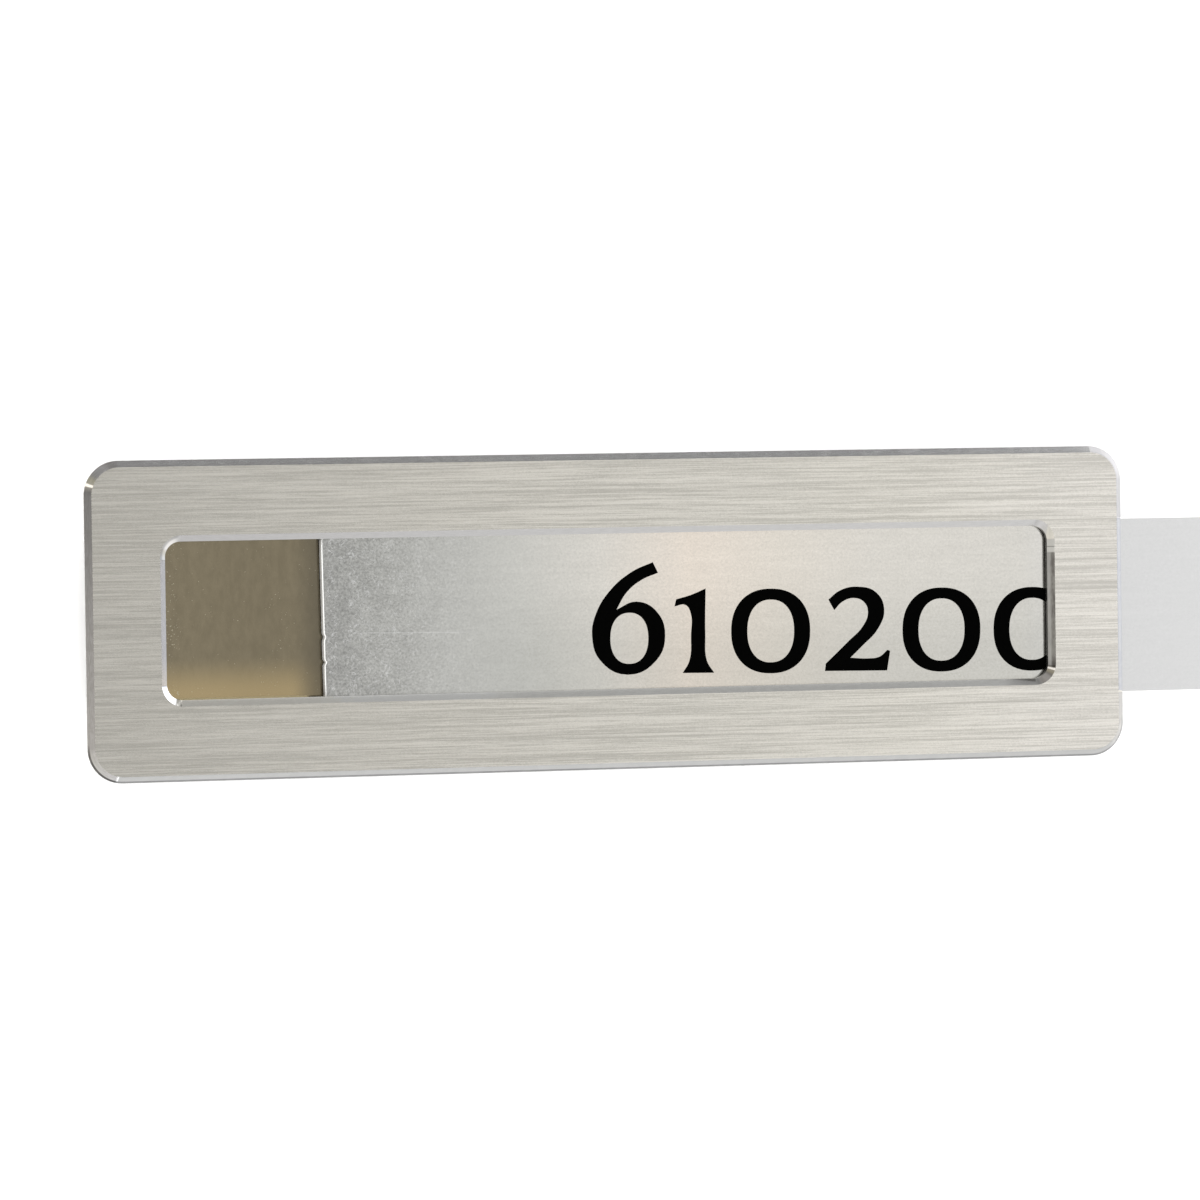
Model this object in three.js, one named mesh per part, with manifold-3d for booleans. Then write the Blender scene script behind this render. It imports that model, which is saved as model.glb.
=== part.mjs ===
// A slide-in name badge: a brushed front frame with a long window, a back plate with a milled channel,
// a thin name strip that slides in that channel, and a plain magnet bar on the back.
// Millimetres, +Z up. The badge lies on its back with its face up, +X runs along it to the open end of
// the channel and +Y runs up the written line. The origin is the middle of the magnet bar's underside.

import * as THREE from "three";
import { mergeVertices } from "three/addons/utils/BufferGeometryUtils.js";
import Module from "manifold-3d";

const wasm = await Module();
wasm.setup();

// Front frame
const BADGE_LENGTH = 75;
const BADGE_HEIGHT = 22;
const BADGE_CORNER_RADIUS = 2.4;
const FRAME_THICKNESS = 0.8;
const FRAME_BORDER = 5.15;
const WINDOW_CORNER_RADIUS = 1.5;
const OUTER_CHAMFER = 0.45;
const WINDOW_CHAMFER = 0.43;
const BACK_BEVEL = 0.2;

// Back plate
const BACK_PLATE_SETBACK = 0.7;
const BACK_PLATE_BEVEL = 0.25;
const CHANNEL_FLOOR_THICKNESS = 0.9;
const CHANNEL_STOP_THICKNESS = 1.9;
const CHANNEL_CORNER_RADIUS = 0.6;

// Name strip
const STRIP_HEIGHT = 12.5;
const STRIP_THICKNESS = 0.6;
const STRIP_EDGE_BREAK = 0.06;
const STRIP_CORNER_RADIUS = 0.7;
const STRIP_END_SLANT_DEG = 0.8;
const STRIP_PULLED_OUT = 13.92;

// Magnet bar
const MAGNET_LENGTH = 45;
const MAGNET_HEIGHT = 13;
const MAGNET_THICKNESS = 3;
const MAGNET_CORNER_RADIUS = 2;
const MAGNET_EDGE_BREAK = 0.4;

// Clearances between the pieces. The channel has play, and the strip lies near its lower side.
const GLUE_LINE = 0.1;
const STRIP_FLOAT = 0.1;
const STRIP_LOWER_CLEARANCE = 0.15;
const STRIP_UPPER_CLEARANCE = 0.85;
const STRIP_STOP_CLEARANCE = 0.1;

// Fineness of the round corners
const CORNER_STEPS = 10;

// Heights that follow from the stack of pieces
const backPlateBottom = MAGNET_THICKNESS + GLUE_LINE;
const channelFloor = backPlateBottom + CHANNEL_FLOOR_THICKNESS;
const stripBottom = channelFloor + STRIP_FLOAT;
const stripTop = stripBottom + STRIP_THICKNESS;
const backPlateTop = stripTop;
const frameBack = backPlateTop + GLUE_LINE;
const frameFace = frameBack + FRAME_THICKNESS;

// Places along the badge
const badgeEnd = BADGE_LENGTH / 2;
const backPlateEnd = badgeEnd - BACK_PLATE_SETBACK;
const channelStop = -backPlateEnd + CHANNEL_STOP_THICKNESS;
const stripHomeStart = channelStop + STRIP_STOP_CLEARANCE;
const stripLength = badgeEnd - stripHomeStart;
const stripStart = stripHomeStart + STRIP_PULLED_OUT;

// Places up the badge
const channelHalfHeight = (STRIP_HEIGHT + STRIP_LOWER_CLEARANCE + STRIP_UPPER_CLEARANCE) / 2;
const stripMiddle = (STRIP_LOWER_CLEARANCE - STRIP_UPPER_CLEARANCE) / 2;

// The counter-clockwise outline of a rectangle with round corners. Every outline has the same number of
// points in the same order, so that two outlines of different sizes can be joined point by point.
function roundedOutline(length, height, radius) {
  const corners = [
    [length / 2 - radius, height / 2 - radius],
    [radius - length / 2, height / 2 - radius],
    [radius - length / 2, radius - height / 2],
    [length / 2 - radius, radius - height / 2],
  ];
  const points = [];
  corners.forEach(([x, y], quarter) => {
    for (let step = 0; step <= CORNER_STEPS; step += 1) {
      const angle = (quarter + step / CORNER_STEPS) * (Math.PI / 2);
      points.push([x + radius * Math.cos(angle), y + radius * Math.sin(angle)]);
    }
  });
  return points;
}

// One ring of points: an outline that stands a given inset inside a rectangle, at one height.
function ring(length, height, radius, inset, z) {
  const outline = roundedOutline(length - 2 * inset, height - 2 * inset, radius - inset);
  return outline.map(([x, y]) => [x, y, z]);
}

// The triangles of the band between two rings.
function bandBetween(lower, upper, count) {
  const triangles = [];
  for (let i = 0; i < count; i += 1) {
    const next = (i + 1) % count;
    triangles.push(lower + i, lower + next, upper + next);
    triangles.push(lower + i, upper + next, upper + i);
  }
  return triangles;
}

// A solid of stacked rings, given from the bottom up on the outside. With closed true the last ring runs
// back to the first, as on a frame with a window. Otherwise the first and last rings get flat caps.
function solidOfRings(rings, closed) {
  const count = rings[0].length;
  const positions = rings.flat(2);
  const triangles = [];
  rings.forEach((_, k) => {
    if (k + 1 < rings.length) {
      triangles.push(...bandBetween(k * count, (k + 1) * count, count));
    } else if (closed) {
      triangles.push(...bandBetween(k * count, 0, count));
    }
  });
  if (!closed) {
    const last = (rings.length - 1) * count;
    for (let i = 1; i + 1 < count; i += 1) {
      triangles.push(0, i + 1, i);
      triangles.push(last, last + i, last + i + 1);
    }
  }
  const geometry = new THREE.BufferGeometry();
  geometry.setAttribute("position", new THREE.Float32BufferAttribute(positions, 3));
  geometry.setIndex(triangles);
  return geometry;
}

function toManifold(geometry) {
  const bare = geometry.clone();
  bare.deleteAttribute("normal");
  bare.deleteAttribute("uv");
  const merged = mergeVertices(bare, 1e-4);
  return new wasm.Manifold(new wasm.Mesh({
    numProp: 3,
    vertProperties: new Float32Array(merged.attributes.position.array),
    triVerts: new Uint32Array(merged.index.array),
  }));
}

function fromManifold(solid) {
  const mesh = solid.getMesh();
  const geometry = new THREE.BufferGeometry();
  geometry.setAttribute("position", new THREE.BufferAttribute(new Float32Array(mesh.vertProperties), 3));
  geometry.setIndex(new THREE.BufferAttribute(new Uint32Array(mesh.triVerts), 1));
  return geometry;
}

// The front plate. Outside it has a polished chamfer at the face and a bevel at the back; the window goes
// right through, with its own polished chamfer at the face.
function frameGeometry() {
  const windowLength = BADGE_LENGTH - 2 * FRAME_BORDER;
  const windowHeight = BADGE_HEIGHT - 2 * FRAME_BORDER;
  const outside = (inset, z) => ring(BADGE_LENGTH, BADGE_HEIGHT, BADGE_CORNER_RADIUS, inset, z);
  const window = (inset, z) => ring(windowLength, windowHeight, WINDOW_CORNER_RADIUS, inset, z);
  const rings = [
    outside(BACK_BEVEL, frameBack),
    outside(0, frameBack + BACK_BEVEL),
    outside(0, frameFace - OUTER_CHAMFER),
    outside(OUTER_CHAMFER, frameFace),
    window(0, frameFace),
    window(WINDOW_CHAMFER, frameFace - WINDOW_CHAMFER),
    window(WINDOW_CHAMFER, frameBack),
  ];
  return solidOfRings(rings, true);
}

// The outline of the milled channel, which is closed by the stop at one end and open at the other.
function channelShape() {
  const half = channelHalfHeight;
  const beyond = badgeEnd + BACK_PLATE_SETBACK;
  const shape = new THREE.Shape();
  shape.moveTo(beyond, -half);
  shape.lineTo(beyond, half);
  shape.lineTo(channelStop + CHANNEL_CORNER_RADIUS, half);
  shape.absarc(
    channelStop + CHANNEL_CORNER_RADIUS, half - CHANNEL_CORNER_RADIUS, CHANNEL_CORNER_RADIUS,
    Math.PI / 2, Math.PI, false,
  );
  shape.absarc(
    channelStop + CHANNEL_CORNER_RADIUS, CHANNEL_CORNER_RADIUS - half, CHANNEL_CORNER_RADIUS,
    Math.PI, 1.5 * Math.PI, false,
  );
  shape.closePath();
  return shape;
}

// The plate behind the frame: a little smaller than the frame, so that it stays out of sight behind it.
function backPlateGeometry() {
  const length = BADGE_LENGTH - 2 * BACK_PLATE_SETBACK;
  const height = BADGE_HEIGHT - 2 * BACK_PLATE_SETBACK;
  const radius = BADGE_CORNER_RADIUS - BACK_PLATE_SETBACK;
  const plate = solidOfRings([
    ring(length, height, radius, BACK_PLATE_BEVEL, backPlateBottom),
    ring(length, height, radius, 0, backPlateBottom + BACK_PLATE_BEVEL),
    ring(length, height, radius, 0, backPlateTop),
  ], false);
  const channelHeight = 2 * (backPlateTop - channelFloor);
  const channel = new THREE.ExtrudeGeometry(channelShape(), {
    depth: channelHeight, bevelEnabled: false, curveSegments: CORNER_STEPS,
  });
  channel.translate(0, 0, channelFloor);
  return fromManifold(toManifold(plate).subtract(toManifold(channel)));
}

// A shape of straight sides through the given corners, with each corner rounded off.
function roundedPolygon(corners, radius) {
  const shape = new THREE.Shape();
  corners.forEach((corner, i) => {
    const before = corners[(i + corners.length - 1) % corners.length];
    const after = corners[(i + 1) % corners.length];
    const start = before.clone().sub(corner).setLength(radius).add(corner);
    const end = after.clone().sub(corner).setLength(radius).add(corner);
    if (i === 0) {
      shape.moveTo(start.x, start.y);
    } else {
      shape.lineTo(start.x, start.y);
    }
    shape.quadraticCurveTo(corner.x, corner.y, end.x, end.y);
  });
  shape.closePath();
  return shape;
}

// A flat piece of a given thickness with its long edges broken all round.
function flatPiece(shape, thickness, edgeBreak) {
  const geometry = new THREE.ExtrudeGeometry(shape, {
    depth: thickness - 2 * edgeBreak,
    bevelEnabled: true,
    bevelThickness: edgeBreak,
    bevelSize: edgeBreak,
    bevelOffset: -edgeBreak,
    bevelSegments: 1,
    curveSegments: CORNER_STEPS,
  });
  geometry.translate(0, 0, edgeBreak);
  return geometry;
}

// The strip starts at its own zero. Its hidden end was cut off a little out of square.
function stripGeometry() {
  const half = STRIP_HEIGHT / 2;
  const slant = half * Math.tan(THREE.MathUtils.degToRad(STRIP_END_SLANT_DEG));
  const corners = [
    new THREE.Vector2(stripLength, -half),
    new THREE.Vector2(stripLength, half),
    new THREE.Vector2(0, half),
    new THREE.Vector2(2 * slant, -half),
  ];
  return flatPiece(roundedPolygon(corners, STRIP_CORNER_RADIUS), STRIP_THICKNESS, STRIP_EDGE_BREAK);
}

function magnetGeometry() {
  const outline = roundedOutline(MAGNET_LENGTH, MAGNET_HEIGHT, MAGNET_CORNER_RADIUS);
  const shape = new THREE.Shape(outline.map(([x, y]) => new THREE.Vector2(x, y)));
  return flatPiece(shape, MAGNET_THICKNESS, MAGNET_EDGE_BREAK);
}

const brushedAluminium = new THREE.MeshStandardMaterial({ color: 0xc4c0b6, roughness: 0.38, metalness: 1 });
const polishedPlate = new THREE.MeshStandardMaterial({ color: 0x8f8468, roughness: 0.12, metalness: 1 });
const satinAluminium = new THREE.MeshStandardMaterial({ color: 0xd2d2ce, roughness: 0.28, metalness: 1 });
const nickel = new THREE.MeshStandardMaterial({ color: 0xb4b3b0, roughness: 0.3, metalness: 1 });

function piece(name, geometry, material) {
  const mesh = new THREE.Mesh(geometry, material);
  mesh.name = name;
  return mesh;
}

const badge = new THREE.Group();
badge.add(piece("front_frame", frameGeometry(), brushedAluminium));
badge.add(piece("back_plate", backPlateGeometry(), polishedPlate));
badge.add(piece("magnet_bar", magnetGeometry(), nickel));

const slide = new THREE.Group();
slide.position.set(stripStart, stripMiddle, stripBottom);
slide.add(piece("name_strip", stripGeometry(), satinAluminium));
badge.add(slide);

export default badge;
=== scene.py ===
"""A slide-in name badge: brushed frame with polished chamfers, mirror back plate, and a satin strip
pulled part of the way out, printed with plain numbers. Metres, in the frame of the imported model."""
import math

import bmesh
import bpy
from mathutils import Matrix, Vector


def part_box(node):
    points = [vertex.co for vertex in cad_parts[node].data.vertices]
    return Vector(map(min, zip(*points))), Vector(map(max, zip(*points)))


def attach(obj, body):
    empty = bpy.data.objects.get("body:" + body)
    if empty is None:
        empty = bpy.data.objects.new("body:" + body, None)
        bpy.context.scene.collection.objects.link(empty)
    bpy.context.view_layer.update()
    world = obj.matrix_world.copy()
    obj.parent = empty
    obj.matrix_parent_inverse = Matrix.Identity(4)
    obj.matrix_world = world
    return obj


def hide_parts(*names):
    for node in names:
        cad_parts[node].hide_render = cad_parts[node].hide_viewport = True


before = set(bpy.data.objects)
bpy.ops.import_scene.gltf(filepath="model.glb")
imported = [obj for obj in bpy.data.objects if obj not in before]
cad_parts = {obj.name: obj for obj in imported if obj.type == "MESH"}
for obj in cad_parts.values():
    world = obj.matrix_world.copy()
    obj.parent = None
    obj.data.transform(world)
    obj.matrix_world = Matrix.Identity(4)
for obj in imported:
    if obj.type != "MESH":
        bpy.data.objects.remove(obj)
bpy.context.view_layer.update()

MM = 0.001

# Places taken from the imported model
FRAME_LOW, FRAME_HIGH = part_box("front_frame")
STRIP_LOW, STRIP_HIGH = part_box("name_strip")
FACE_Z = FRAME_HIGH.z

# Front frame, the same sizes as its solid
FRAME_BORDER = 5.15 * MM
OUTER_RADIUS = 2.4 * MM
WINDOW_RADIUS = 1.5 * MM
OUTER_CHAMFER = 0.45 * MM
WINDOW_CHAMFER = 0.43 * MM
BACK_BEVEL = 0.2 * MM
EDGE_ROUND = 0.025 * MM
CORNER_STEPS = 28
SHARP_ANGLE = math.radians(20)

# Name strip
STRIP_RADIUS = 0.7 * MM
STRIP_END_SLANT = math.radians(0.8)
STRIP_ROLLED_WIDTH = 0.09 * MM
STRIP_ROLLED_DEPTH = 0.10 * MM
STRIP_ROLLED_STEPS = 6
STRIP_END_STEPS = 90
NICKS = [(-1.35, 0.16, 0.10), (-3.1, 0.12, 0.13)]  # place up the end, half width and depth in mm

# Printed numbers, in millimetres from the strip's hidden end and its middle line
PRINT_START = 19.3
PRINT_BASELINE = -4.3
PRINT_TILT = math.radians(-0.8)
PRINT_HEIGHT = 0.012 * MM
PRINT_LIFT = 0.002 * MM

# Camera, measured from the middle of the frame's face
CAMERA_PLACE = Vector((-125.2, 13.0, 434.1)) * MM
CAMERA_YAW = math.radians(15.94)
CAMERA_PITCH = math.radians(1.545)
CAMERA_ROLL = math.radians(0.79)
CAMERA_FOCAL_IN_IMAGE_WIDTHS = 6500 / 1200
SENSOR_WIDTH_MM = 36

# Tones of the brushed face, and of the strip from its hidden end onward: place along the badge in
# millimetres, red, green and blue
FACE_DARK = (0.480, 0.463, 0.418, 1)
FACE_LIGHT = (0.680, 0.655, 0.595, 1)
FACE_MIDDLE = (0.580, 0.559, 0.507, 1)
FACE_LINE = (0.36, 0.345, 0.31, 1)
# Painted highlight: the face made lighter and bluer towards its right end
FACE_RIGHT_PAINTED_LIGHT_TIMES = (1.035, 1.035, 1.055, 1)
# The strip's tones are a painted reflection: dark near its hidden end and warm in the middle
STRIP_PAINTED_TONES = [
    (-20.76, 0.400, 0.400, 0.383),
    (-17, 0.452, 0.452, 0.430),
    (-12, 0.530, 0.530, 0.504),
    (-7, 0.603, 0.598, 0.563),
    (-1, 0.685, 0.662, 0.612),
    (5.5, 0.758, 0.688, 0.607),
    (12, 0.680, 0.638, 0.572),
    (19, 0.620, 0.597, 0.550),
    (30, 0.570, 0.554, 0.515),
    (37.5, 0.562, 0.562, 0.562),
]


# Node helpers

class Nodes:
    """Short names for the shader nodes that the materials share."""

    def __init__(self, tree):
        self.tree = tree

    def add(self, kind, **values):
        node = self.tree.nodes.new(kind)
        for name, value in values.items():
            setattr(node, name, value)
        return node

    def feed(self, socket, value):
        if isinstance(value, bpy.types.NodeSocket):
            self.tree.links.new(value, socket)
        else:
            socket.default_value = value

    def math(self, operation, first, second=0.0, clamp=False):
        node = self.add("ShaderNodeMath", operation=operation, use_clamp=clamp)
        self.feed(node.inputs[0], first)
        self.feed(node.inputs[1], second)
        return node.outputs[0]

    def both(self, *factors):
        """The product of two or more factors."""
        product = factors[0]
        for factor in factors[1:]:
            product = self.math("MULTIPLY", product, factor)
        return product

    def distance(self, value, place):
        """How far a value is from a place, on either side."""
        return self.math("ABSOLUTE", self.math("SUBTRACT", value, place))

    def weighed(self, *shares):
        """The sum of several values, each times its share."""
        total = self.math("MULTIPLY", *shares[0])
        for value, share in shares[1:]:
            total = self.math("ADD", total, self.math("MULTIPLY", value, share))
        return total

    def ramp(self, value, low, high, out_low=0.0, out_high=1.0, smooth=True):
        """Carries low to out_low and high to out_high, and stays level beyond them."""
        node = self.add("ShaderNodeMapRange", interpolation_type="SMOOTHSTEP" if smooth else "LINEAR")
        for socket, number in zip(node.inputs, (value, low, high, out_low, out_high)):
            self.feed(socket, number)
        return node.outputs[0]

    def mix(self, factor, first, second, blend="MIX"):
        node = self.add("ShaderNodeMix", data_type="RGBA", blend_type=blend)
        self.feed(node.inputs[0], factor)
        self.feed(node.inputs[6], first)
        self.feed(node.inputs[7], second)
        return node.outputs[2]

    def times(self, where, tone, factor):
        """A tone multiplied by another one, as far as the mask says so."""
        return self.mix(where, tone, factor, blend="MULTIPLY")

    def split(self, vector):
        node = self.add("ShaderNodeSeparateXYZ")
        self.feed(node.inputs[0], vector)
        return node.outputs

    def place(self, vector, scale=(1, 1, 1), shift=(0, 0, 0)):
        """Coordinates scaled and then shifted."""
        node = self.add("ShaderNodeMapping")
        self.feed(node.inputs["Vector"], vector)
        node.inputs["Location"].default_value = shift
        node.inputs["Scale"].default_value = scale
        return node.outputs[0]

    def millimetres(self):
        """The piece's own coordinates, in millimetres."""
        node = self.add("ShaderNodeTexCoord")
        return self.place(node.outputs["Object"], (1 / MM,) * 3)

    def noise(self, vector, scale=1.0, detail=2.0, roughness=0.5, distortion=0.0):
        node = self.add("ShaderNodeTexNoise")
        self.feed(node.inputs["Vector"], vector)
        node.inputs["Scale"].default_value = scale
        node.inputs["Detail"].default_value = detail
        node.inputs["Roughness"].default_value = roughness
        node.inputs["Distortion"].default_value = distortion
        return node.outputs[0]

    def bump(self, height, strength, distance):
        node = self.add("ShaderNodeBump")
        node.inputs["Strength"].default_value = strength
        node.inputs["Distance"].default_value = distance
        self.feed(node.inputs["Height"], height)
        return node.outputs[0]


def new_material(name, metallic=1.0):
    """A new material, with its node helper and the inputs of its shader."""
    material = bpy.data.materials.new(name)
    material.use_nodes = True
    shader = material.node_tree.nodes["Principled BSDF"]
    shader.inputs["Metallic"].default_value = metallic
    return material, Nodes(material.node_tree), shader.inputs


# Materials

def brushed_face():
    """Aluminium brushed along X: long fine streaks in tone, gloss and relief, with a fine grain."""
    material, n, inputs = new_material("brushed_face")
    place = n.millimetres()
    x, _, _ = n.split(place)
    long_lines = n.noise(n.place(place, (0.06, 6.5, 6.5)), detail=3, roughness=0.75)
    short_lines = n.noise(n.place(place, (0.30, 14, 14), shift=(3, 5, 0)), detail=2, roughness=0.6)
    broad = n.noise(n.place(place, (0.04, 1.1, 1.1), shift=(7, 3, 0)), detail=2)
    grain = n.noise(place, scale=9.0, detail=2, roughness=0.6)
    streak = n.weighed((long_lines, 0.44), (short_lines, 0.30), (broad, 0.10), (grain, 0.16))
    tone = n.mix(n.ramp(streak, 0.435, 0.565, smooth=False), FACE_DARK, FACE_LIGHT)
    tone = n.mix(n.ramp(x, -37, 5, 0.22, 0.0), tone, FACE_MIDDLE)
    scores = n.noise(n.place(place, (0.06, 8.5, 8.5), shift=(0, 11, 0)), detail=2, roughness=0.7)
    score_depth = n.ramp(x, -25, 30, 0.16, 0.45)
    tone = n.mix(n.both(n.ramp(scores, 0.60, 0.70), score_depth), tone, FACE_LINE)
    # Painted highlight: lighter and bluer towards the right end
    tone = n.times(n.ramp(x, 18, 37), tone, FACE_RIGHT_PAINTED_LIGHT_TIMES)
    n.feed(inputs["Base Color"], tone)
    n.feed(inputs["Roughness"], n.ramp(short_lines, 0.3, 0.7, 0.23, 0.31))
    n.feed(inputs["Normal"], n.bump(short_lines, 0.12, 0.004 * MM))
    return material


# The outer chamfer's tones: besides the plain and marked ones, they are painted reflections and painted
# shade. Those that say "times" multiply what lies under them.
OUTER_TONES = {
    "plain": (0.70, 0.70, 0.70, 1),
    "marked": (0.80, 0.80, 0.81, 1),
    "open_corner_highlight": (0.98, 0.98, 0.98, 1),
    "top_left_shade_times": (0.86, 0.86, 0.86, 1),
    "top_right_shade_times": (0.78, 0.78, 0.78, 1),
    "open_end_low": (0.430, 0.420, 0.400, 1),
    "open_end_high": (0.478, 0.473, 0.488, 1),
    "open_end_corner": (0.410, 0.405, 0.415, 1),
    "strip_reflection": (0.800, 0.765, 0.665, 1),
    "low_corner_times": (0.88, 0.87, 0.87, 1),
    "foot": (0.318, 0.318, 0.313, 1),
    "rim_shade": (0.20, 0.20, 0.20, 1),
    "foot_shade_line": (0.17, 0.17, 0.17, 1),
}

# The window chamfer's tones, named in the same way; besides the plain and marked ones, they are painted
# reflections and painted shade
WINDOW_TONES = {
    "plain": (0.88, 0.875, 0.86, 1),
    "marked": (0.95, 0.945, 0.93, 1),
    "far_corner_dark": (0.52, 0.50, 0.485, 1),
    "far_corner_light": (0.76, 0.735, 0.70, 1),
    "top_corner_times": (0.84, 0.85, 0.87, 1),
    "low_end_times": (0.62, 0.62, 0.62, 1),
    "low_corner": (0.37, 0.37, 0.36, 1),
    "low_run_times": (1.10, 1.075, 1.02, 1),
    "lit_run_times": (1.5, 1.5, 1.5, 1),
    "upper_left": (0.63, 0.60, 0.50, 1),
    "upper_left_rim": (0.10, 0.10, 0.10, 1),
    "end_shade": (0.24, 0.225, 0.21, 1),
    "end_shade_marked": (0.40, 0.39, 0.36, 1),
    "end_foot": (0.15, 0.14, 0.13, 1),
    "end_lit_edge": (0.85, 0.84, 0.82, 1),
    "end_reflection": (0.84, 0.83, 0.79, 1),
    "end_reflection_marked": (0.90, 0.89, 0.85, 1),
    "end_line": (0.20, 0.20, 0.19, 1),
}
CHAMFER_DULL = (0.58, 0.57, 0.56, 1)
CORNER_TILT = 0.22  # added to the normal's height where the window chamfer is cut flatter
TOP_TILT = 0.07
UPPER_CORNERS_BEGIN = (4.15, 4.20)  # up the window, from nothing to the full effect, in millimetres
LOWER_CORNERS_BEGIN = (-4.43, -4.47)
END_LINE_PLACE = 3.93


def polished_chamfer():
    """The cut chamfers: nearly mirrors with faint tool marks and duller patches, fewest at the foot, their
    tones carrying painted reflections and painted shade.
    """
    material, n, inputs = new_material("polished_chamfer")
    place = n.millimetres()
    x, y, _ = n.split(place)
    normal = n.add("ShaderNodeNewGeometry").outputs["Normal"]
    normal_y = n.split(normal)[1]
    window_x = (FRAME_HIGH.x - FRAME_BORDER) / MM
    window_y = (FRAME_HIGH.y - FRAME_BORDER) / MM
    middle_of_border = FRAME_BORDER / 2 / MM
    inner = n.both(n.ramp(n.distance(x, 0), window_x, window_x + middle_of_border, 1.0, 0.0),
                   n.ramp(n.distance(y, 0), window_y, window_y + middle_of_border, 1.0, 0.0))
    marks = n.ramp(n.noise(n.place(place, (1.6, 1.6, 26)), detail=2), 0.35, 0.65)
    blotch = n.noise(place, scale=1.7, detail=2)
    tone = n.mix(inner, outer_tone(n, place, normal, marks), window_tone(n, place, normal, marks))
    dulled = n.both(n.ramp(blotch, 0.42, 0.62), n.ramp(inner, 0, 1, 0.25, 0.10),
                    n.ramp(normal_y, -0.6, -0.4, 0.2, 1.0))
    n.feed(inputs["Base Color"], n.mix(dulled, tone, CHAMFER_DULL))
    n.feed(inputs["Roughness"], n.ramp(blotch, 0.4, 0.7, 0.058, 0.072))
    n.feed(inputs["Normal"], flatter_cut(n, place, normal, inner))
    return material


def outer_tone(n, place, normal, marks):
    """The outer chamfer's tone, with painted reflections and painted shade: lighter at the open end's
    corner, darker along the top, changed at the open end and the foot, and with dark painted lines along its
    edges.
    """
    x, y, z = n.split(place)
    normal_x, normal_y, _ = n.split(normal)
    tones = OUTER_TONES
    tone = n.mix(marks, tones["plain"], tones["marked"])
    # Painted highlight: the outer chamfer lighter at its corner by the open end
    open_corner_highlight = n.both(n.ramp(x, 33.2, 36.8), n.ramp(y, 9.5, 10.3))
    tone = n.mix(open_corner_highlight, tone, tones["open_corner_highlight"])
    # Painted shade: the top side of the outer chamfer darker, more so to the right
    top_shade = n.mix(n.ramp(x, 10, 30), tones["top_left_shade_times"], tones["top_right_shade_times"])
    tone = n.times(n.ramp(normal_y, 0.685, 0.705), tone, top_shade)
    to_the_right = open_end_and_foot_tone(n, y, normal_y)
    turned = n.math("SUBTRACT", normal_x, n.both(normal_y, 0.105))
    tone = n.mix(n.ramp(turned, -0.055, -0.03), tone, to_the_right)
    depth = n.distance(z, FACE_Z / MM)
    # Painted shade: dark lines along both edges of the outer chamfer, strongest on its right side and none
    # on its left
    shaded_rims = n.math("MAXIMUM", n.ramp(depth, 0.02, 0.12, 1.0, 0.0), n.ramp(depth, 0.36, 0.44))
    tone = n.mix(n.both(shaded_rims, n.ramp(normal_x, -0.1, 0.1, 0.0, 0.24)), tone, tones["rim_shade"])
    # Painted shade: a dark line low on the outer chamfer's foot side
    foot_shade_line = n.both(n.ramp(depth, 0.30, 0.34), n.ramp(y, -8.0, -9.2))
    return n.mix(foot_shade_line, tone, tones["foot_shade_line"])


def open_end_and_foot_tone(n, y, normal_y):
    """The outer chamfer's painted tone at the open end, with a painted reflection of the strip beside it,
    and painted shade along the foot.
    """
    tones = OUTER_TONES
    strip_half = (STRIP_HIGH.y - STRIP_LOW.y) / 2 / MM
    strip_middle = (STRIP_HIGH.y + STRIP_LOW.y) / 2 / MM
    # Painted reflection: the open end of the outer chamfer darker than its other sides, lighter and bluer
    # higher up, with a darker corner
    tone = n.mix(n.ramp(y, -6, 6), tones["open_end_low"], tones["open_end_high"])
    tone = n.mix(n.ramp(normal_y, 0.45, 0.68), tone, tones["open_end_corner"])
    # Painted reflection of the strip in the outer chamfer beside it
    from_strip_middle = n.distance(y, strip_middle)
    strip_reflection = n.ramp(from_strip_middle, strip_half - 0.16, strip_half - 0.05, 1.0, 0.0)
    tone = n.mix(strip_reflection, tone, tones["strip_reflection"])
    # Painted shade: the outer chamfer's lower right corner a little darker
    low_corner = n.both(n.ramp(normal_y, -0.10, -0.22), n.ramp(normal_y, -0.52, -0.42))
    tone = n.times(low_corner, tone, tones["low_corner_times"])
    # Painted shade: the outer chamfer's foot side darker
    return n.mix(n.ramp(normal_y, -0.62, -0.25), tones["foot"], tone)


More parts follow.
